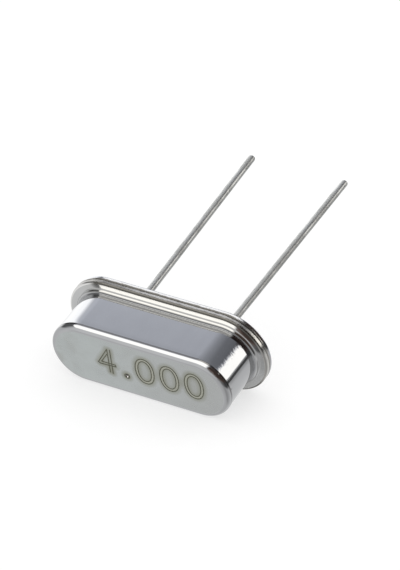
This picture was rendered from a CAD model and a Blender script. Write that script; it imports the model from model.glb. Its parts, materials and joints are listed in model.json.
# Looks for the low-profile quartz crystal: its metal, glass, marking, studio and camera.

import json
import math

import bpy
import numpy as np
from mathutils import Matrix, Vector
from mathutils.geometry import delaunay_2d_cdt


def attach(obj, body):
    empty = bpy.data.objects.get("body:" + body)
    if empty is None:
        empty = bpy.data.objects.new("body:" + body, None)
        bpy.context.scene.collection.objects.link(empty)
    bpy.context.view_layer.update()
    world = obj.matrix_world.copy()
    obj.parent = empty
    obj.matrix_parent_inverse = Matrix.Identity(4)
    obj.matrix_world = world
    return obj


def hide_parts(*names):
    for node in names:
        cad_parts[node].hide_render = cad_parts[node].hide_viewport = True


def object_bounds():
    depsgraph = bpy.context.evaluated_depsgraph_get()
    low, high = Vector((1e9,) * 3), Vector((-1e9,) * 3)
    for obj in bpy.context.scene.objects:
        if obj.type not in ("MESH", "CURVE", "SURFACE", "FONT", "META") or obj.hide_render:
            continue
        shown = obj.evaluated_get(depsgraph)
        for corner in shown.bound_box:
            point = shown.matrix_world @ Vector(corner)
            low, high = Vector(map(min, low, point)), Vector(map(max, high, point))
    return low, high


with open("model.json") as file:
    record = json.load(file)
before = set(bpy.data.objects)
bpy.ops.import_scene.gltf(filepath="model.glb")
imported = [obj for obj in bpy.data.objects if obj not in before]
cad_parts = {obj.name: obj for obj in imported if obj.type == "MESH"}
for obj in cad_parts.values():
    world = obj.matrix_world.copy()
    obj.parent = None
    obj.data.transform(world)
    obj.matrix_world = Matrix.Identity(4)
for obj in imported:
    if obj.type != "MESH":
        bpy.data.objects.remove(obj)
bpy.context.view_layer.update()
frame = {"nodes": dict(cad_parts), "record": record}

# ---- Sizes in millimetres, as the part has them, in its standing frame ----
# The seating plane is z = 0, the can rises along +Z, the leads point down, and X runs along
# the obround. _R is a radius, _T a thickness, _H a height and _D a depth. LEAN is in degrees.
MM = 0.001
STRAIGHT = 6.45
BODY_R, CAN_H, CAN_T, TOP_R, TOP_INNER_R = 1.75, 3.4, 0.25, 0.28, 0.1
SKIRT_R, SKIRT_TOP, SKIRT_EDGE_R, SKIRT_INNER_R, FOOT_R = 1.87, 0.72, 0.08, 0.06, 0.03
FLANGE_R, RIM_TOP, EDGE_TOP, FLANGE_EDGE_R, FLANGE_SEAM_R = 2.3, 0.55, 0.6, 0.1, 0.06
HEADER_T, HEADER_EDGE_R, HEADER_SEAM_R = 0.3, 0.14, 0.04
PLUG_R, PLUG_TOP, PLUG_EDGE_R = 1.45, 0.88, 0.1
POCKET_R, POCKET_D, POCKET_EDGE_R = 1.2, 0.15, 0.03
SEAL_R, MENISCUS = 0.75, 0.07
LEAD_X, LEAD_R, LEAD_L, LEAN, LEAN_START, LEAN_R, TIP_R = 2.44, 0.19, 13.0, 1.1, 0.3, 1.5, 0.12
HEAD_R, HEAD_BOTTOM, HEAD_TOP, HEAD_EDGE_R = 0.42, 0.98, 1.12, 0.03

# The standing frame's origin and turn, from the mount on the can's top.
can_top = next(m for m in frame["record"]["mounts"] if m["name"] == "can_top_face")
rise = Vector(can_top["axis"]).normalized()
along = Vector((1, 0, 0))
seat = Vector(can_top["pos_m"]) - rise * CAN_H * MM
stand = Matrix((along, rise.cross(along), rise)).transposed()


# ---- Meshes ----

class Skin:
    """Faces over points that are stored once, with a normal at each face corner. Points are
    in the standing frame, and those that are equal to so many DIGITS are one."""

    DIGITS = 6

    def __init__(self):
        self.index, self.faces, self.normals, self.slots = {}, [], [], []

    def face(self, corners, normals, slot=0):
        """Adds a face. Corners that share a point become one, and a face that is left with
        fewer than three is dropped."""
        ids = [self.index.setdefault(tuple(round(float(c), self.DIGITS) for c in p),
                                     len(self.index)) for p in corners]
        keep = [i for i in range(len(ids)) if ids[i] != ids[i - 1]]
        if len(set(ids)) < 3:
            return
        self.faces.append([ids[i] for i in keep])
        self.normals += [tuple(float(c) for c in normals[i]) for i in keep]
        self.slots.append(slot)

    def make(self, name, materials):
        """The object, in the frame's own place and in metres."""
        mesh = bpy.data.meshes.new(name)
        mesh.from_pydata([seat + stand @ Vector(p) * MM for p in self.index], [], self.faces)
        for material in materials:
            mesh.materials.append(material)
        mesh.polygons.foreach_set("use_smooth", [True] * len(self.faces))
        mesh.polygons.foreach_set("material_index", self.slots)
        mesh.normals_split_custom_set([stand @ Vector(n) for n in self.normals])
        mesh.update()
        obj = bpy.data.objects.new(name, mesh)
        bpy.context.scene.collection.objects.link(obj)
        return obj


def arc(centre, r, start, end, steps=10, hollow=False):
    """Points (radius, height, normal) on an arc, from start to end degrees.
    hollow turns the normals to the arc's centre."""
    sign = -1 if hollow else 1
    found = []
    for i in range(steps + 1):
        a = math.radians(start + (end - start) * i / steps)
        c, s = math.cos(a), math.sin(a)
        found.append((centre[0] + r * c, centre[1] + r * s, sign * c, sign * s))
    return found


def line(p, q, steps=1):
    """Points on a straight side from p to q. The normal is to the right of its way."""
    dr, dh = q[0] - p[0], q[1] - p[1]
    n = math.hypot(dr, dh)
    return [(p[0] + dr * i / steps, p[1] + dh * i / steps, dh / n, -dr / n)
            for i in range(steps + 1)]


def lean(path, *tilts):
    """The same path with normals that lean up by these degrees, evenly spaced along it."""
    found = []
    for i, point in enumerate(path):
        at = i * (len(tilts) - 1) / (len(path) - 1)
        k = min(int(at), len(tilts) - 2)
        a = math.radians(tilts[k] + (tilts[k + 1] - tilts[k]) * (at - k))
        found.append((*point[:2], math.cos(a), math.sin(a)))
    return found


def ease(value, start, end):
    """0 before start, 1 after end, and smooth between them."""
    t = min(1, max(0, (value - start) / (end - start)))
    return t * t * (3 - 2 * t)


def waisted(low, high, foot=1.5, upper=1.0, flare=6.0, flare_from=0.82, steps=24):
    """The wall from low to high: drawn in a little, and flaring out again under the rim. It
    leans in by foot degrees at the bottom, and out by upper and at last flare degrees."""
    found, r = [], BODY_R
    for i in range(steps + 1):
        h = high - (high - low) * i / steps
        t = (h - low) / (high - low)
        flared = max(0, (t - flare_from) / (1 - flare_from)) ** 2
        a = math.radians(foot * (1 - t) ** 2 - upper * t - (flare - upper) * flared)
        found.append((r, h, math.cos(a), math.sin(a)))
        r += math.tan(a) * (high - low) / steps
    return found[::-1]


def obround_stations(steps=56):
    """Stations round the obround: (centre x, cosine, sine)."""
    found = []
    for side in (1, -1):
        for i in range(steps + 1):
            a = math.radians(-90 + 180 * i / steps)
            found.append((side * STRAIGHT / 2, side * math.cos(a), side * math.sin(a)))
    return found


def round_stations(x, steps=48):
    """Stations round an upright axis at x."""
    return [(x, math.cos(2 * math.pi * i / steps), math.sin(2 * math.pi * i / steps))
            for i in range(steps)]


SAME = 1e-6     # points nearer than this are one


def sweep(skin, path, stations, slot=0):
    """Sweeps a section's side round the stations. Its normals point out where the path
    goes up along the outside. The path can be a function of the station."""
    path_at = path if callable(path) else lambda station: path

    def place(station, point):
        x, c, s = station
        r, h, nr, nh = point
        return (x + r * c, r * s, h), (nr * c, nr * s, nh)

    for a, b in zip(stations, stations[1:] + stations[:1]):
        on_a, on_b = path_at(a), path_at(b)
        for i in range(len(on_a) - 1):
            if math.dist(on_a[i][:2], on_a[i + 1][:2]) < SAME:
                continue
            ring = [place(a, on_a[i]), place(b, on_b[i]), place(b, on_b[i + 1]),
                    place(a, on_a[i + 1])]
            skin.face([c for c, n in ring], [n for c, n in ring], slot)


def outline(stations, r):
    """The flat loop at radius r round the stations."""
    return [(x + r * c, r * s) for x, c, s in stations]


def fill(skin, loops, height, up, slot_of=None, lower=None):
    """Fills flat loops at a height. The first loop is the outside, the others are holes,
    or strokes whose floor is lowered. slot_of picks the material from the strokes over a
    face, and lower is how far each material's floor is sunk, or None for no floor."""
    given, faces = [], []
    for loop in loops:
        faces.append(list(range(len(given), len(given) + len(loop))))
        given += loop
    inside_only = 1
    points, _, found, origins, _, over = delaunay_2d_cdt(
        [Vector(p) for p in given], [], faces, inside_only, SAME)
    points = [given[own[0]] if own else tuple(p) for p, own in zip(points, origins)]
    n = (0, 0, 1 if up else -1)
    sides = {}
    for corners, names in zip(found, over):
        names = set(names)
        if slot_of is None:
            if names != {0}:
                continue
            slot = 0
        else:
            slot = slot_of(names)
            if lower[slot] is None:
                continue
        z = height - (lower[slot] if lower else 0) * n[2]
        ids = corners if up else corners[::-1]
        skin.face([(*points[i], z) for i in ids], [n] * len(ids), slot)
        for a, b in zip(ids, ids[1:] + ids[:1]):
            sides[a, b] = (z, slot)
    for (a, b), (z, slot) in sides.items():
        if (b, a) in sides and sides[b, a][0] != z and (z < sides[b, a][0]) == up:
            top = sides[b, a][0]
            p, q = points[a], points[b]
            wide = math.dist(p, q) * n[2]
            wall = ((p[1] - q[1]) / wide, (q[0] - p[0]) / wide, 0)
            skin.face([(*q, z), (*p, z), (*p, top), (*q, top)], [wall] * 4, slot)


def ring_tube(skin, rings, steps=40):
    """A tube through rings, each (centre, turn in degrees about Y, radius, how far its
    normal leans along the tube), closed at both ends."""
    placed = []
    for centre, turn, r, tilt in rings:
        t = math.radians(turn)
        side = np.array((math.cos(t), 0, -math.sin(t)))
        axis = np.array((math.sin(t), 0, math.cos(t)))
        row = []
        for i in range(steps):
            a = 2 * math.pi * i / steps
            out = side * math.cos(a) + np.array((0, math.sin(a), 0))
            n = out * math.sqrt(max(0, 1 - tilt * tilt)) + axis * tilt
            row.append((np.array(centre) + out * r, n))
        placed.append((row, axis))
    for (low, _), (high, _) in zip(placed, placed[1:]):
        for i in range(steps):
            j = (i + 1) % steps
            ring = [low[i], low[j], high[j], high[i]]
            skin.face([p for p, n in ring], [n for p, n in ring])
    skin.face([p for p, n in placed[0][0]][::-1], [-placed[0][1]] * steps)
    skin.face([p for p, n in placed[-1][0]], [placed[-1][1]] * steps)


# ---- Marking: the frequency in plain digits, as lines scribed into the can's top ----

# The tint fades out over HALO beside a line, and is FILL_TINT strong inside a zero.
LINE_W, STROKE_GAP, LINE_DEPTH, HALO, FILL_TINT = 0.055, 0.15, 0.012, 0.24, 0.34
ZERO_X, ZERO_Y, ZERO_A, ZERO_B, SQUARED = (0.37, 1.74, 3.11), 0.19, 0.44, 0.71, 0.92
DOT, DOT_R, DOT_STEPS, PIT_DEPTH, PIT_TILT = (-0.695, -0.475), 0.13, 32, 0.08, 0.65
FOUR = [
    [(-1.655, 0.95), (-2.26, -0.06), (-2.16, -0.13), (-1.27, -0.08)],
    [(-1.69, 0.62), (-2.07, 0.03), (-1.3, 0.03), (-1.27, -0.08)],
    [(-1.655, 0.95), (-1.655, -0.54)],
    [(-1.495, 0.93), (-1.5, -0.58)],
]


def oval(centre, a, b, steps=64):
    """A closed oval, a little squarer than an ellipse (a power of SQUARED)."""
    found = []
    for i in range(steps):
        t = 2 * math.pi * i / steps
        c, s = math.cos(t), math.sin(t)
        found.append((centre[0] + a * math.copysign(abs(c) ** SQUARED, c),
                      centre[1] + b * math.copysign(abs(s) ** SQUARED, s)))
    return found


def capsule(p, q, half, steps=6):
    """The outline at a distance round the line from p to q."""
    turn = math.atan2(q[1] - p[1], q[0] - p[0])
    found = []
    for end, start in ((q, turn - math.pi / 2), (p, turn + math.pi / 2)):
        for i in range(steps + 1):
            a = start + math.pi * i / steps
            found.append((end[0] + half * math.cos(a), end[1] + half * math.sin(a)))
    return found


def dot(r):
    """The outline at radius r round the decimal point."""
    return oval(DOT, r, r, DOT_STEPS)


# The marking's loops, as (kind, loop). A line is cut where it covers a face, nested ovals
# turn cut and uncut from one to the next, and a halo only gives the tint points to end on.
strokes = [(p, q) for way in FOUR for p, q in zip(way, way[1:])]
half_line = LINE_W / 2
marks = []
for p, q in strokes:
    marks += [("line", capsule(p, q, half_line)), ("halo", capsule(p, q, half_line + HALO))]
rounds = [((x, ZERO_Y), ZERO_A, ZERO_B, STROKE_GAP / 2) for x in ZERO_X]
for centre, a, b, gap in rounds:
    for out in (gap + half_line, gap - half_line, half_line - gap, -half_line - gap):
        marks.append(("nest", oval(centre, a + out, b + out)))
    for out in (gap + half_line + HALO, -half_line - gap - HALO):
        marks.append(("halo", oval(centre, a + out, b + out)))
marks += [("nest", dot(DOT_R + half_line)), ("pit", dot(DOT_R - half_line)),
          ("halo", dot(DOT_R + half_line + HALO))]

# The can's material slots, and PIT for the decimal point, which is faced on its own.
WALL, FACE, LINE, BODY, INSIDE, SKIRT, EDGE, PIT = range(8)


def mark_slot(names):
    """The material of a face that these loops cover. Name 0 is the can's top itself."""
    over = [marks[n - 1][0] for n in names if n > 0]
    if "pit" in over:
        return PIT
    if "line" in over:
        return LINE
    return (FACE, LINE, BODY, LINE, FACE)[over.count("nest")]


def mark_strength(x, y):
    """1 on the marking and 0 where its tint ends; the tint fills the zeros."""
    p = np.array((x, y))
    gaps, least = [], 0.0
    for a, b in strokes:
        a, b = np.array(a), np.array(b)
        t = np.clip((p - a) @ (b - a) / ((b - a) @ (b - a)), 0, 1)
        gaps.append(math.dist(p, a + t * (b - a)) - half_line)
    for centre, a, b, gap in rounds + [(DOT, DOT_R, DOT_R, 0)]:
        d = p - centre
        n = math.hypot(d[0] / a, d[1] / b)
        near = abs(n - 1) * np.linalg.norm(d) / n if n > SAME else min(a, b)
        gaps.append(near - gap - half_line)
        if n < 1:
            least = FILL_TINT
    return float(np.clip(1 - min(gaps) / HALO, least, 1))


# ---- Materials ----

class Nodes:
    """Short calls for building one node tree."""

    def __init__(self, tree):
        self.tree = tree
        tree.nodes.clear()

    def add(self, kind, inputs=None, **settings):
        """A new node. Each of its inputs is a value or the socket that feeds it."""
        node = self.tree.nodes.new(kind)
        for name, value in settings.items():
            setattr(node, name, value)
        for name, value in (inputs or {}).items():
            socket = node.inputs[name]
            self.feed(socket, value)
        return node

    def feed(self, socket, value):
        """Links the socket to another, or sets its value."""
        if isinstance(value, bpy.types.NodeSocket):
            self.tree.links.new(value, socket)
        else:
            socket.default_value = value

    def math(self, operation, *values, clamp=False):
        """The result of one Math node on these values or sockets."""
        node = self.add("ShaderNodeMath", dict(enumerate(values)),
                        operation=operation, use_clamp=clamp)
        return node.outputs[0]

    def smooth(self, value, start, end, low=0.0, high=1.0):
        """Turns value from start to end into low to high, smoothly, and holds it beyond."""
        node = self.add("ShaderNodeMapRange",
                        {"Value": value, "From Min": start, "From Max": end,
                         "To Min": low, "To Max": high}, interpolation_type="SMOOTHSTEP")
        return node.outputs["Result"]

    def mix(self, share, a, b):
        """A colour between a and b, which are colours or sockets."""
        node = self.add("ShaderNodeMix", {"Factor": share}, data_type="RGBA")
        for name, value in (("A", a), ("B", b)):
            socket = next(s for s in node.inputs if s.name == name and s.type == "RGBA")
            self.feed(socket, (*value, 1) if isinstance(value, tuple) else value)
        return next(s for s in node.outputs if s.type == "RGBA")

    def place(self, stretch=(1, 1, 1)):
        """Standing-frame coordinates in millimetres, stretched along each axis."""
        where = self.add("ShaderNodeTexCoord").outputs["Object"]
        return self.add("ShaderNodeMapping", {
            "Vector": where, "Location": seat, "Rotation": stand.to_euler(),
            "Scale": [s * MM for s in stretch]}, vector_type="TEXTURE").outputs[0]

    def noise(self, stretch, detail=3.0, roughness=0.55):
        """Noise between 0 and 1 whose features are about stretch millimetres wide."""
        return self.add("ShaderNodeTexNoise", {
            "Vector": self.place(stretch), "Scale": 1.0, "Detail": detail,
            "Roughness": roughness}).outputs["Fac"]

    def at(self, axis):
        """One standing-frame coordinate in millimetres: X runs along the obround and Y
        across it, both from its middle, and Z up from the seating plane."""
        return self.add("ShaderNodeSeparateXYZ", {"Vector": self.place()}).outputs[axis]

    def band(self, value, low, high, soft, soft_high=None):
        """1 where value is between low and high, and 0 outside. Each edge is soft by so
        much on both sides of it."""
        soft_high = soft if soft_high is None else soft_high
        return self.math("MULTIPLY", self.smooth(value, low - soft, low + soft),
                         self.smooth(value, high - soft_high, high + soft_high, 1.0, 0.0))

    def bump(self, height, depth, normal=None):
        """A bump whose height input of 1 stands depth millimetres high."""
        inputs = {"Height": height, "Distance": depth * MM, "Strength": 1.0}
        if normal is not None:
            inputs["Normal"] = normal
        return self.add("ShaderNodeBump", inputs).outputs[0]


def new_material(name):
    """A new material and its empty node tree."""
    material = bpy.data.materials.new(name)
    material.use_nodes = True
    return material, Nodes(material.node_tree)


def finish_material(nodes, **inputs):
    """Puts a Principled shader with these inputs on the material's output."""
    shader = nodes.add("ShaderNodeBsdfPrincipled",
                       {name.replace("_", " "): value for name, value in inputs.items()})
    nodes.add("ShaderNodeOutputMaterial", {"Surface": shader.outputs[0]})


def metal(name, light, dark, smooth, rough, grain, grain_depth, wave, wave_depth):
    """A plated metal: cloudy colour from light to dark, roughness from smooth to rough, fine
    grain and a soft waviness, each with its features' size and its depth in millimetres."""
    material, n = new_material(name)
    cloud = n.smooth(n.noise((0.8, 0.8, 0.8), 4.0), 0.35, 0.65)
    fine = n.noise(grain, 2.0)
    colour = n.mix(cloud, light, dark)
    roughness = n.math("ADD", n.smooth(cloud, 0, 1, smooth, rough),
                       n.math("MULTIPLY", n.math("SUBTRACT", fine, 0.5), rough - smooth))
    normal = n.bump(n.noise(wave, 1.0), wave_depth)
    normal = n.bump(fine, grain_depth, normal)
    finish_material(n, Base_Color=colour, Metallic=1.0, Roughness=roughness, Normal=normal)
    return material


# Heights of the dark lines on the wall and skirt, in the standing frame, and how far along
# the obround the lines at the foot reach, with their softness.
RIM_LINE = (3.03, 3.14, 0.015)
FOOT_LINE = (0.845, 0.975, 0.03)
FOOT_TOP = (0.77, 0.8)
STEP_EDGE = (0.69, 1.0, 0.012)
FOOT_REACH = (-3.65, 4.65, 0.35)


def wall_material():
    """The drawn wall: bright nickel, with a dark line where the die left it under the rim,
    another where the body meets the skirt, and small dents near the right end."""
    material, n = new_material("can_wall")
    cloud = n.smooth(n.noise((0.9, 0.9, 1.6), 4.0), 0.3, 0.7)
    draw = n.noise((0.1, 0.1, 1.4), 2.0)
    colour = n.mix(cloud, (0.585, 0.592, 0.605), (0.565, 0.572, 0.585))
    z = n.math("ADD", n.at("Z"), n.math("MULTIPLY", n.noise((0.3, 0.3, 0.3), 2.0), 0.03))
    rim_line = n.math("MULTIPLY", n.band(z, *RIM_LINE),
                      n.smooth(n.at("Y"), -0.6, 0.9, 0.3, 0.75))
    colour = n.mix(rim_line, colour, (0.1, 0.092, 0.085))
    foot = n.math("MAXIMUM", n.math("MULTIPLY", n.band(z, *FOOT_LINE), 0.58),
                  n.smooth(z, *FOOT_TOP, 0.55, 0.0))
    foot = n.math("MULTIPLY", foot, n.band(n.at("X"), *FOOT_REACH))
    colour = n.mix(foot, colour, (0.11, 0.113, 0.12))
    normal = n.bump(n.noise((0.7, 0.7, 1.4), 1.0), 0.0016)
    normal = n.bump(draw, 0.0003, normal)
    dents = n.math("MULTIPLY", n.noise((0.3, 0.3, 0.09), 2.0),
                   n.band(n.at("X"), 4.22, 4.5, 0.08))
    normal = n.bump(dents, 0.01, normal)
    finish_material(n, Base_Color=colour, Metallic=1.0,
                    Roughness=n.smooth(draw, 0.3, 0.7, 0.05, 0.08), Normal=normal)
    return material


def skirt_material():
    """The stamped step and the flange's upper face: a little warm and matt, lighter at both
    ends, and dark in the corner under the wall."""
    material, n = new_material("can_skirt")
    hatch = n.noise((0.05, 0.05, 0.3), 2.0)
    cloud = n.smooth(n.noise((0.4, 0.4, 0.4), 4.0), 0.3, 0.7)
    colour = n.mix(cloud, (0.59, 0.588, 0.576), (0.555, 0.553, 0.541))
    ends = n.smooth(n.math("ABSOLUTE", n.at("X")), 3.6, 4.8, 0.0, 1.0)
    colour = n.mix(ends, colour, (0.675, 0.682, 0.682))
    foot = n.math("MULTIPLY", n.band(n.at("Z"), *STEP_EDGE), n.band(n.at("X"), *FOOT_REACH))
    colour = n.mix(foot, colour, (0.3, 0.3, 0.295))
    finish_material(n, Base_Color=colour, Metallic=1.0,
                    Roughness=n.smooth(hatch, 0.3, 0.7, 0.07, 0.11),
                    Normal=n.bump(hatch, 0.0006))
    return material


def face_material():
    """The can's top: satin nickel, a little darker to the right, smudged, and stained olive
    beside the marking."""
    material, n = new_material("can_face")
    cloud = n.smooth(n.noise((1.1, 1.1, 1.1), 4.0), 0.35, 0.7)
    fine = n.noise((0.06, 0.06, 0.06), 2.0)
    colour = n.mix(cloud, (0.598, 0.636, 0.632), (0.576, 0.61, 0.606))
    colour = n.mix(n.smooth(n.at("X"), -3.0, 4.6, 0.0, 0.8), colour, (0.54, 0.55, 0.548))
    smudge = n.math("MULTIPLY", n.smooth(n.noise((0.7, 0.7, 0.7), 3.0), 0.45, 0.7),
                    n.smooth(n.at("X"), -4.6, -2.8, 0.5, 0.1))
    colour = n.mix(smudge, colour, (0.48, 0.49, 0.465))
    stain = n.add("ShaderNodeAttribute", attribute_name="mark").outputs["Fac"]
    stain = n.math("MULTIPLY", stain, n.smooth(cloud, 0.0, 1.0, 0.8, 1.0))
    colour = n.mix(stain, colour, (0.36, 0.366, 0.305))
    normal = n.bump(n.noise((2.2, 2.2, 2.2), 1.0), 0.003)
    normal = n.bump(fine, 0.0006, normal)
    finish_material(n, Base_Color=colour, Metallic=1.0,
                    Roughness=n.smooth(cloud, 0.0, 1.0, 0.23, 0.28), Normal=normal)
    return material


def sheared_material(name, bright, bright_colour, bright_rough, torn_top, bright_left=1.0,
                     crest=None):
    """A sheared edge: a burnished band between the two heights of bright, and torn metal
    beside it, which darkens to torn_top and is smoother at both ends. Towards the left the
    band fades to bright_left. At the left end the edge is burnished above the height crest,
    if there is one, and dull below it."""
    material, n = new_material(name)
    tear = n.noise((0.11, 0.11, 0.045), 4.0, 0.7)
    ragged = n.noise((0.3, 0.3, 0.12), 4.0, 0.7)
    z = n.at("Z")
    shift = n.math("MULTIPLY", n.math("SUBTRACT", ragged, 0.5), 0.2)
    band = n.math("MULTIPLY", n.band(n.math("ADD", z, shift), *bright, 0.03),
                  n.smooth(n.at("X"), -2.9, -0.6, bright_left, 1.0))
    torn = n.mix(n.smooth(tear, 0.3, 0.7), (0.11, 0.105, 0.095), (0.38, 0.365, 0.34))
    torn = n.mix(n.smooth(z, torn_top - 0.1, torn_top), torn, (0.15, 0.145, 0.132))
    left = n.smooth(n.at("X"), -4.3, -3.75, 1.0, 0.0)
    calm = n.math("MAXIMUM", n.math("MULTIPLY", left, 0.9),
                  n.smooth(n.at("X"), 4.85, 5.35, 0.0, 0.75))
    torn = n.mix(calm, torn, (0.6, 0.59, 0.57))
    colour = n.mix(band, torn, bright_colour)
    if crest:
        ended = n.mix(n.smooth(z, crest - 0.02, crest + 0.02),
                      (0.25, 0.245, 0.235), (1.0, 0.998, 0.98))
        colour = n.mix(left, colour, ended)
    rough = n.smooth(band, 0.0, 1.0, 0.26, bright_rough)
    rough = n.math("SUBTRACT", rough, n.math("MULTIPLY", calm, 0.18), clamp=True)
    normal = n.bump(n.math("MULTIPLY", tear, n.smooth(calm, 0.0, 0.85, 1.0, 0.2)), 0.005)
    normal = n.bump(ragged, 0.004, normal)
    finish_material(n, Base_Color=colour, Metallic=1.0, Roughness=rough, Normal=normal)
    return material


can_wall = wall_material()
can_skirt = skirt_material()
can_edge = sheared_material("can_edge", bright=(0.35, 0.47), bright_colour=(0.66, 0.65, 0.625),
                            bright_rough=0.3, torn_top=0.56, bright_left=0.25, crest=0.53)
header_edge = sheared_material("header_edge", bright=(-1.0, 0.21), bright_rough=0.1,
                               bright_colour=(0.545, 0.555, 0.585), torn_top=0.3)
can_face = face_material()
can_inside = metal("can_inside", light=(0.56, 0.56, 0.55), dark=(0.5, 0.5, 0.49),
                   smooth=0.3, rough=0.4, grain=(0.1, 0.1, 0.6), grain_depth=0.0008,
                   wave=(1.5, 1.5, 1.5), wave_depth=0.004)
header_metal = metal("header_metal", light=(0.58, 0.58, 0.575), dark=(0.54, 0.54, 0.53),
                     smooth=0.14, rough=0.22, grain=(0.1, 0.1, 0.1), grain_depth=0.0006,
                     wave=(1.4, 1.4, 1.4), wave_depth=0.005)
lead_metal = metal("lead_metal", light=(0.56, 0.565, 0.555), dark=(0.48, 0.485, 0.475),
                   smooth=0.3, rough=0.4, grain=(0.08, 0.08, 0.8), grain_depth=0.0008,
                   wave=(0.5, 0.5, 2.0), wave_depth=0.004)


def scribed(name, light, dark, smooth, rough):
    """The can's top where it is marked: heat-tinted, and rougher than the rest."""
    material, n = new_material(name)
    speck = n.noise((0.05, 0.05, 0.05), 2.0)
    colour = n.mix(n.smooth(speck, 0.35, 0.65), light, dark)
    finish_material(n, Base_Color=colour, Metallic=1.0,
                    Roughness=n.smooth(speck, 0.3, 0.7, smooth, rough),
                    Normal=n.bump(speck, 0.003))
    return material


mark_line = scribed("mark_line", light=(0.21, 0.212, 0.165), dark=(0.16, 0.162, 0.12),
                    smooth=0.32, rough=0.45)
mark_body = scribed("mark_body", light=(0.54, 0.545, 0.47), dark=(0.42, 0.425, 0.36),
                    smooth=0.2, rough=0.3)


def seal_material():
    """Dark sealing glass, a little cloudy, with fine bubbles."""
    material, n = new_material("seal_glass")
    cloud = n.smooth(n.noise((0.25, 0.25, 0.25), 3.0), 0.35, 0.7)
    bubble = n.add("ShaderNodeTexVoronoi", {
        "Vector": n.place((0.12, 0.12, 0.12)), "Scale": 1.0}).outputs["Distance"]
    spot = n.smooth(bubble, 0.1, 0.16, 1.0, 0.0)
    colour = n.mix(cloud, (0.012, 0.03, 0.028), (0.03, 0.055, 0.05))
    colour = n.mix(n.math("MULTIPLY", spot, 0.35), colour, (0.2, 0.25, 0.24))
    finish_material(n, Base_Color=colour, Roughness=n.smooth(cloud, 0, 1, 0.05, 0.12),
                    IOR=1.52, Normal=n.bump(n.noise((0.4, 0.4, 0.4), 2.0), 0.006))
    return material


def quartz_material():
    """Lapped quartz: clear, with a finely frosted surface."""
    material, n = new_material("quartz_blank")
    frost = n.noise((0.03, 0.03, 0.03), 2.0)
    colour = n.mix(n.noise((1.5, 1.5, 1.5), 2.0), (0.93, 0.96, 0.97), (0.88, 0.93, 0.94))
    finish_material(n, Base_Color=colour, Transmission_Weight=0.8, IOR=1.54,
                    Roughness=n.smooth(frost, 0.3, 0.7, 0.22, 0.36),
                    Normal=n.bump(frost, 0.001))
    return material


def paste_material():
    """Cured silver adhesive: flakes in resin, grey and lumpy."""
    material, n = new_material("silver_adhesive")
    flake = n.add("ShaderNodeTexVoronoi", {
        "Vector": n.place((0.05, 0.05, 0.05)), "Scale": 1.0})
    lump = n.noise((0.2, 0.2, 0.2), 3.0)
    colour = n.mix(lump, (0.46, 0.45, 0.42), (0.62, 0.61, 0.58))
    finish_material(n, Base_Color=colour, Metallic=0.6,
                    Roughness=n.smooth(flake.outputs["Distance"], 0, 0.6, 0.35, 0.6),
                    Normal=n.bump(lump, 0.02))
    return material


seal_glass = seal_material()
quartz = quartz_material()
adhesive = paste_material()
spring_strip = metal("spring_strip", light=(0.66, 0.6, 0.45), dark=(0.6, 0.54, 0.39),
                     smooth=0.2, rough=0.3, grain=(0.6, 0.05, 0.6), grain_depth=0.0006,
                     wave=(1.0, 1.0, 1.0), wave_depth=0.002)
silver_film = metal("silver_film", light=(0.86, 0.86, 0.84), dark=(0.8, 0.8, 0.77),
                    smooth=0.18, rough=0.28, grain=(0.03, 0.03, 0.03), grain_depth=0.0004,
                    wave=(1.0, 1.0, 1.0), wave_depth=0.001)


# ---- Pieces ----

def add_piece(skin, name, materials, node):
    """Makes the skin's piece, which stands for the CAD node and has the record's slot."""
    piece = skin.make(name, materials)
    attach(piece, "root")
    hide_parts(node)
    return piece


def left_end(station, start, end):
    """0 on the straight sides and at the right end, and 1 at the left end. It rises while
    the cosine of the way out goes from -start to -end."""
    x, c = station[:2]
    return ease(-c, start, end) if x < 0 else 0


around = obround_stations()

# The can's outside, from the seam up. The step's normals are those of a rounder swell. The
# wall reaches its full radius RIM_GAP under the round of the top, and from there its normals
# turn up to the round's within RIM_TURN.
FLAT_TILT, SWELL_TILT, SWELL_START = 92, 28, (0.2, 0.6)
STEP_TILTS, STEP_EDGE_TILTS = (60, 24), (22, 20, 18, 55, 88)
RIM_GAP, RIM_TURN, ROUND_START = 0.1, 0.02, 5
low, high = SKIRT_TOP + FOOT_R, CAN_H - TOP_R
seam = (arc((FLANGE_R - FLANGE_SEAM_R, HEADER_T + FLANGE_SEAM_R), FLANGE_SEAM_R, -90, 0, 8)
        + arc((FLANGE_R - FLANGE_EDGE_R, EDGE_TOP - FLANGE_EDGE_R), FLANGE_EDGE_R, 0, 90, 14))
step_side = line((SKIRT_R, RIM_TOP), (SKIRT_R, SKIRT_TOP - SKIRT_EDGE_R), 3)
step_edge = arc((SKIRT_R - SKIRT_EDGE_R, SKIRT_TOP - SKIRT_EDGE_R), SKIRT_EDGE_R, 0, 90, 12)
step = lean(step_side, *STEP_TILTS) + lean(step_edge, *STEP_EDGE_TILTS)
foot = (line((SKIRT_R - SKIRT_EDGE_R, SKIRT_TOP), (BODY_R + FOOT_R, SKIRT_TOP))
        + arc((BODY_R + FOOT_R, SKIRT_TOP + FOOT_R), FOOT_R, -90, -180, 10, True))
top_round = arc((BODY_R - TOP_R, high), TOP_R, ROUND_START, 90, 18)
wall = waisted(low, high - RIM_GAP)
wall.append((BODY_R, high - RIM_GAP + RIM_TURN, *top_round[0][2:]))


def flange_top(station):
    """The flange's upper face. Its normals are those of a swell that rises to the skirt,
    except at the left end, where they are nearly a flat face's."""
    tilt = SWELL_TILT + (FLAT_TILT - SWELL_TILT) * left_end(station, *SWELL_START)
    return lean(line((FLANGE_R - FLANGE_EDGE_R, EDGE_TOP), (SKIRT_R, RIM_TOP), 6),
                tilt - 2, tilt, tilt + 2, min(FLAT_TILT, tilt + 22))


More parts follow.
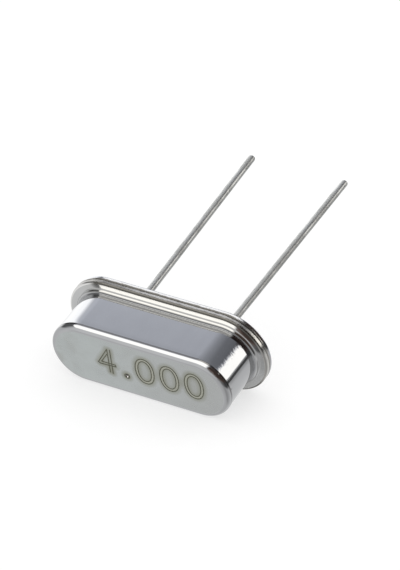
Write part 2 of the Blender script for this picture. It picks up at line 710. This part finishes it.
can = Skin()
sweep(can, seam, around, EDGE)
sweep(can, flange_top, around, SKIRT)
sweep(can, step, around, SKIRT)
sweep(can, foot + wall + top_round, around, WALL)
fill(can, [outline(around, BODY_R - TOP_R)] + [loop for _, loop in marks], CAN_H, True,
     mark_slot, {WALL: 0, FACE: 0, LINE: LINE_DEPTH, BODY: 0, PIT: None})

# The decimal point: a cone in the can's top, shaded as a steeper one.
pit = dot(DOT_R - half_line)
for p, q in zip(pit, pit[1:] + pit[:1]):
    mid = ((p[0] + q[0]) / 2 - DOT[0], (p[1] + q[1]) / 2 - DOT[1])
    n = (-mid[0], -mid[1], math.hypot(*mid) * PIT_TILT)
    n = tuple(c / math.hypot(*n) for c in n)
    can.face([(*p, CAN_H - LINE_DEPTH), (*q, CAN_H - LINE_DEPTH), (*DOT, CAN_H - PIT_DEPTH)],
             [n] * 3, SKIRT)

# The can's inside.
hollow_r, hollow_top = BODY_R - CAN_T, CAN_H - CAN_T
skirt_in, step_in = SKIRT_R - CAN_T, SKIRT_TOP - CAN_T
for side in (
    line((skirt_in, HEADER_T), (FLANGE_R - FLANGE_SEAM_R, HEADER_T)),
    line((skirt_in, step_in - SKIRT_INNER_R), (skirt_in, HEADER_T)),
    arc((skirt_in - SKIRT_INNER_R, step_in - SKIRT_INNER_R), SKIRT_INNER_R, 90, 0, 6, True),
    line((hollow_r, step_in), (skirt_in - SKIRT_INNER_R, step_in)),
    line((hollow_r, hollow_top - TOP_INNER_R), (hollow_r, step_in)),
    arc((hollow_r - TOP_INNER_R, hollow_top - TOP_INNER_R), TOP_INNER_R, 90, 0, 8, True),
):
    sweep(can, side, around, INSIDE)
fill(can, [outline(around, hollow_r - TOP_INNER_R)], hollow_top, False,
     lambda names: INSIDE, {INSIDE: 0})
can_piece = add_piece(can, "can_cover", [can_wall, can_face, mark_line, mark_body, can_inside,
                                         can_skirt, can_edge], "can")
TINT_REACH = 0.02    # how far from the top's height a point can be and still be tinted
tint = can_piece.data.attributes.new("mark", "FLOAT", "POINT")
tint.data.foreach_set("value", [
    mark_strength(x, y) if abs(z - CAN_H) < TINT_REACH else 0.0 for x, y, z in can.index])


HEADER_TILT, HEADER_TILT_START = 10, (0.1, 0.3)


def header_side(station):
    """The header's sheared edge. Its normals lean up a little, except at the left end."""
    tilt = HEADER_TILT - HEADER_TILT * left_end(station, *HEADER_TILT_START)
    edge = arc((FLANGE_R - HEADER_EDGE_R, HEADER_EDGE_R), HEADER_EDGE_R, -90, 0, 14)
    side = line((FLANGE_R, HEADER_EDGE_R), (FLANGE_R, HEADER_T - HEADER_SEAM_R), 4)
    return (lean(edge, -90, -75, -45, -15, 0.7 * tilt, tilt) + lean(side, tilt, tilt, 0)
            + arc((FLANGE_R - HEADER_SEAM_R, HEADER_T - HEADER_SEAM_R), HEADER_SEAM_R, 0, 90, 6))


# The header: flange edge, plug with its two bores, and the pocket in the underside.
PLAIN, SHEARED = range(2)
header = Skin()
bores = [round_stations(side * LEAD_X) for side in (-1, 1)]
for side in (
    line((FLANGE_R - HEADER_SEAM_R, HEADER_T), (PLUG_R, HEADER_T))
    + line((PLUG_R, HEADER_T), (PLUG_R, PLUG_TOP - PLUG_EDGE_R))
    + arc((PLUG_R - PLUG_EDGE_R, PLUG_TOP - PLUG_EDGE_R), PLUG_EDGE_R, 0, 90, 8),
    arc((POCKET_R + POCKET_EDGE_R, POCKET_EDGE_R), POCKET_EDGE_R, -180, -90, 6)
    + line((POCKET_R + POCKET_EDGE_R, 0), (FLANGE_R - HEADER_EDGE_R, 0)),
    line((POCKET_R, POCKET_D), (POCKET_R, POCKET_EDGE_R)),
):
    sweep(header, side, around, PLAIN)
sweep(header, header_side, around, SHEARED)
holes = [outline(bore, SEAL_R) for bore in bores]
fill(header, [outline(around, POCKET_R)] + holes, POCKET_D, False)
fill(header, [outline(around, PLUG_R - PLUG_EDGE_R)] + holes, PLUG_TOP, True)
for bore in bores:
    sweep(header, line((SEAL_R, PLUG_TOP), (SEAL_R, POCKET_D)), bore)
add_piece(header, "header_base", [header_metal, header_edge], "header")

# Glass beads, whose two faces are hollow between lead and bore.
ring_w = (SEAL_R - LEAD_R) / 2
bead_x = LEAD_R + ring_w
bead_r = (ring_w ** 2 + MENISCUS ** 2) / (2 * MENISCUS)
bead_turn = math.degrees(math.asin(ring_w / bead_r))
bead_sides = (
    arc((bead_x, PLUG_TOP - MENISCUS + bead_r), bead_r, bead_turn - 90, -bead_turn - 90, 16,
        True),
    arc((bead_x, POCKET_D + MENISCUS - bead_r), bead_r, 90 + bead_turn, 90 - bead_turn, 16,
        True),
    line((SEAL_R, POCKET_D), (SEAL_R, PLUG_TOP)),
    line((LEAD_R, PLUG_TOP), (LEAD_R, POCKET_D)),
)

# Leads: nail head, straight shank, a bend outwards by LEAN, the free length and a round tip.
splay = math.radians(LEAN)
sin_splay, cos_splay = math.sin(splay), math.cos(splay)
free_l = (LEAD_L - LEAN_START - LEAN_R * sin_splay) / cos_splay
EDGE_STEPS, BEND_STEPS, FREE_STEPS, TIP_STEPS = 4, 4, 24, 8


def lead_rings(side):
    """The rings of one lead, from the top of its nail head down."""
    x = side * LEAD_X
    rings = []

    def collar(h, r, tilt):
        rings.append(((x, 0, h), 0, r, tilt))

    def bend(a):
        """The centre of the wire where it has turned by a."""
        return x + side * LEAN_R * (1 - math.cos(a)), -LEAN_START - LEAN_R * math.sin(a)

    def on_free(d, r, tilt):
        """A ring at distance d along the free length."""
        base = bend(splay)
        rings.append(((base[0] + side * d * sin_splay, 0, base[1] - d * cos_splay),
                      -side * LEAN, r, tilt))

    for i in range(EDGE_STEPS + 1):
        a = math.radians(90 - 90 * i / EDGE_STEPS)
        collar(HEAD_TOP - HEAD_EDGE_R * (1 - math.sin(a)),
               HEAD_R - HEAD_EDGE_R * (1 - math.cos(a)), math.sin(a))
    for i in range(EDGE_STEPS + 1):
        a = math.radians(90 * i / EDGE_STEPS)
        collar(HEAD_BOTTOM + HEAD_EDGE_R * (1 - math.sin(a)),
               HEAD_R - HEAD_EDGE_R * (1 - math.cos(a)), -math.sin(a))
    collar(HEAD_BOTTOM, LEAD_R, -1)
    collar(HEAD_BOTTOM, LEAD_R, 0)
    for i in range(BEND_STEPS + 1):
        a = splay * i / BEND_STEPS
        wire_x, h = bend(a)
        rings.append(((wire_x, 0, h), -side * math.degrees(a), LEAD_R, 0))
    for i in range(1, FREE_STEPS + 1):
        on_free((free_l - TIP_R) * i / FREE_STEPS, LEAD_R, 0)
    for i in range(1, TIP_STEPS + 1):
        a = math.radians(90 * i / TIP_STEPS)
        on_free(free_l - TIP_R * (1 - math.sin(a)), LEAD_R - TIP_R * (1 - math.cos(a)),
                -math.sin(a))
    return rings


for side, word in ((-1, "left"), (1, "right")):
    seal = Skin()
    for path in bead_sides:
        sweep(seal, path, round_stations(side * LEAD_X))
    add_piece(seal, "seal_bead_" + word, [seal_glass], "glass_seal_" + word)
    lead = Skin()
    ring_tube(lead, lead_rings(side)[::-1])
    add_piece(lead, "lead_wire_" + word, [lead_metal], "lead_" + word)

# The pieces inside the can keep the source's shapes.
for name, material in (("clip_left", spring_strip), ("clip_right", spring_strip),
                       ("quartz_blank", quartz), ("electrode_top", silver_film),
                       ("electrode_bottom", silver_film), ("adhesive_left", adhesive),
                       ("adhesive_right", adhesive)):
    node = frame["nodes"][name]
    node.data.materials.clear()
    node.data.materials.append(material)


# ---- Studio: a pale floor inside a light tent ----

def build_world():
    """White for the camera and for plain light. Metal reflects the tent: grey walls, a
    softbox overhead, white cards behind on the left and the right, and dark flags."""
    world = bpy.data.worlds.new("studio")
    bpy.context.scene.world = world
    world.use_nodes = True
    world.cycles.sampling_method = "NONE"
    n = Nodes(world.node_tree)
    way = n.add("ShaderNodeSeparateXYZ",
                {"Vector": n.add("ShaderNodeTexCoord").outputs["Generated"]}).outputs
    x, y, z = way[0], way[1], way[2]
    # Degrees round the tent, from the front towards the right, and over the horizon.
    turn = n.math("DEGREES", n.math("ARCTAN2", x, n.math("MULTIPLY", y, -1.0)))
    up = n.math("DEGREES", n.math("ARCSINE", z))
    brightest = 2.0

    def walls(*stops):
        """Brightness round the tent, from (degrees, brightness) stops, the two ends first."""
        ramp = n.add("ShaderNodeValToRGB", {
            "Fac": n.math("DIVIDE", n.math("ADD", turn, 180.0), 360.0)})
        elements = ramp.color_ramp.elements
        for i, (degrees, level) in enumerate(stops):
            at = (degrees + 180) / 360
            element = elements[i] if i < 2 else elements.new(at)
            element.position = at
            element.color = (level / brightest, level / brightest, level / brightest, 1)
        return n.math("MULTIPLY", ramp.outputs["Color"], brightest)

    def patch(level, share, under):
        """Lays a card of this brightness over what is under it."""
        return n.math("ADD", under, n.math(
            "MULTIPLY", n.math("SUBTRACT", level, under), share))

    def window(turns, ups):
        """1 in a window of the tent. turns and ups are in degrees, each as low, high and
        the softness of the one and the other."""
        return n.math("MULTIPLY", n.band(turn, *turns), n.band(up, *ups))

    # The tent's walls: above, level with the object and below.
    above = walls((-180, 0.31), (180, 0.31), (-165, 0.36), (-153, 0.44), (-144, 0.52),
                  (-136, 0.62), (-122, 0.9), (-40, 0.9), (0, 0.75), (25, 0.28),
                  (40, 0.08), (118, 0.05), (130, 0.16), (140, 0.2), (156, 0.22))
    level = walls((-180, 0.7), (180, 0.7), (-120, 0.72), (-60, 0.62), (-27, 0.78),
                  (-8, 0.77), (17, 0.65), (34, 0.5), (50, 0.22), (92, 0.06),
                  (118, 0.07), (128, 0.4), (150, 0.6))
    below = walls((-180, 0.72), (180, 0.72), (-120, 0.72), (-90, 0.65), (-44, 0.72),
                  (-29, 0.64), (18, 0.57), (38, 0.49), (56, 0.37), (91, 0.5),
                  (120, 0.62), (150, 0.7))
    tent = patch(level, n.smooth(up, -18, -6), below)
    tent = patch(above, n.smooth(up, 36, 46), tent)
    # The floor under the object, darker in front.
    tent = patch(n.smooth(y, 0.0, 0.3, 0.6, 0.72), n.smooth(up, -78, -55, 1.0, 0.0), tent)
    # Dark flags: one beside the object on the left, three on the right, and two behind.
    tent = patch(0.13, window((-122, -62, 1, 20), (6, 46, 6, 5)), tent)
    tent = patch(0.16, window((20, 60, 8, 6), (8, 56, 6, 6)), tent)
    tent = patch(0.05, window((45, 121, 8, 2), (12, 74, 8, 6)), tent)
    tent = patch(0.08, window((100, 150, 10, 2), (-5.5, 1.5, 0.7, 0.7)), tent)
    behind = n.math("SUBTRACT", 1.0, n.band(turn, -162, 149, 4, 4))
    tent = patch(0.14, n.math("MULTIPLY", behind, n.band(up, 0, 33, 4, 4)), tent)
    behind = n.math("MULTIPLY", n.band(x, -0.04, 0.53, 0.03), n.smooth(y, 0.0, 0.2))
    tent = patch(0.1, n.math("MULTIPLY", behind, n.band(z, -0.36, 0.56, 0.06)), tent)
    # White cards behind: a wide one that brightens upwards, and a slit.
    card = window((-155, -123.5, 2.5, 1), (-35, 30, 2, 9))
    tent = patch(n.smooth(up, -34, 3, 0.9, 1.6), card, tent)
    slit = window((120, 143, 1, 1), (5.5, 36.5, 1, 4))
    tent = patch(1.7, slit, tent)
    # The softbox overhead, on a plane one unit up.
    over = n.math("MAXIMUM", z, 0.05)
    box = n.math("MULTIPLY", n.band(n.math("DIVIDE", x, over), -0.95, 0.3, 0.06, 0.12),
                 n.band(n.math("DIVIDE", y, over), -1.0, 0.33, 0.15, 0.05))
    tent = patch(1.75, n.math("MULTIPLY", box, n.smooth(z, 0.3, 0.45)), tent)
    # The tent's upper back wall is a little blue, the lamps warm and the dark flags brown.
    blue = n.math("MULTIPLY", n.smooth(up, 20, 45), n.smooth(y, 0.1, 0.4))
    tint = n.mix(blue, (1, 1, 1), (0.95, 0.98, 1.07))
    tint = n.mix(n.math("MAXIMUM", slit, box), tint, (1.02, 1.0, 0.955))
    brown = n.math("MULTIPLY", window((15, 124, 8, 2), (8, 76, 6, 8)),
                   n.smooth(tent, 0.08, 0.3, 1.0, 0.0))
    tint = n.mix(brown, tint, (1.3, 0.95, 0.82))
    studio = n.add("ShaderNodeBackground", {"Color": tint, "Strength": tent})
    plain = n.add("ShaderNodeBackground", {"Color": (1, 1, 1, 1), "Strength": 1.0})
    glossy = n.add("ShaderNodeLightPath").outputs["Is Glossy Ray"]
    mixed = n.add("ShaderNodeMixShader", {0: glossy, 1: plain.outputs[0], 2: studio.outputs[0]})
    n.add("ShaderNodeOutputWorld", {"Surface": mixed.outputs[0]})


def build_floor():
    """A floor that is white where nothing shades it and keeps the object's soft shadow."""
    low, reach, glow_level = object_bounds()[0].z, 3.0, 0.61
    mesh = bpy.data.meshes.new("floor")
    mesh.from_pydata([(-reach, -reach, low), (reach, -reach, low), (reach, reach, low),
                      (-reach, reach, low)], [], [(0, 1, 2, 3)])
    floor = bpy.data.objects.new("floor", mesh)
    bpy.context.scene.collection.objects.link(floor)
    floor.visible_glossy = False
    material, n = new_material("floor_paper")
    grain = n.noise((0.8, 0.8, 0.8), 2.0)
    paper = n.add("ShaderNodeBsdfDiffuse", {
        "Color": n.mix(grain, (0.42, 0.42, 0.42), (0.44, 0.44, 0.44))})
    seen = n.add("ShaderNodeLightPath").outputs["Is Camera Ray"]
    glow = n.add("ShaderNodeEmission", {
        "Color": (1, 1, 1, 1), "Strength": n.math("MULTIPLY", seen, glow_level)})
    both = n.add("ShaderNodeAddShader", {0: paper.outputs[0], 1: glow.outputs[0]})
    n.add("ShaderNodeOutputMaterial", {"Surface": both.outputs[0]})
    material.cycles.emission_sampling = "NONE"
    mesh.materials.append(material)


def build_camera():
    """The photograph's view: a long lens from the front right, above. It was fitted to the
    outlines of the can, the flange and the leads, and its places are in metres."""
    camera = bpy.data.objects.new("camera", bpy.data.cameras.new("camera"))
    bpy.context.scene.collection.objects.link(camera)
    bpy.context.scene.camera = camera
    camera.data.lens, camera.data.sensor_width = 239.45, 36.0
    camera.data.clip_start, camera.data.clip_end = 0.01, 20.0
    place = Vector((0.08053, -0.139838, 0.099117))
    aim = Vector((-0.000531, -0.001, 0.002818))
    roll = math.radians(-0.69)
    back = (place - aim).normalized()
    right = Vector((0, 0, 1)).cross(back).normalized()
    top = back.cross(right)
    side = right * math.cos(roll) + top * math.sin(roll)
    camera.matrix_world = Matrix.Translation(place) @ Matrix(
        (side, back.cross(side), back)).transposed().to_4x4()


build_world()
build_floor()
build_camera()
bpy.context.scene.view_settings.view_transform = "Standard"
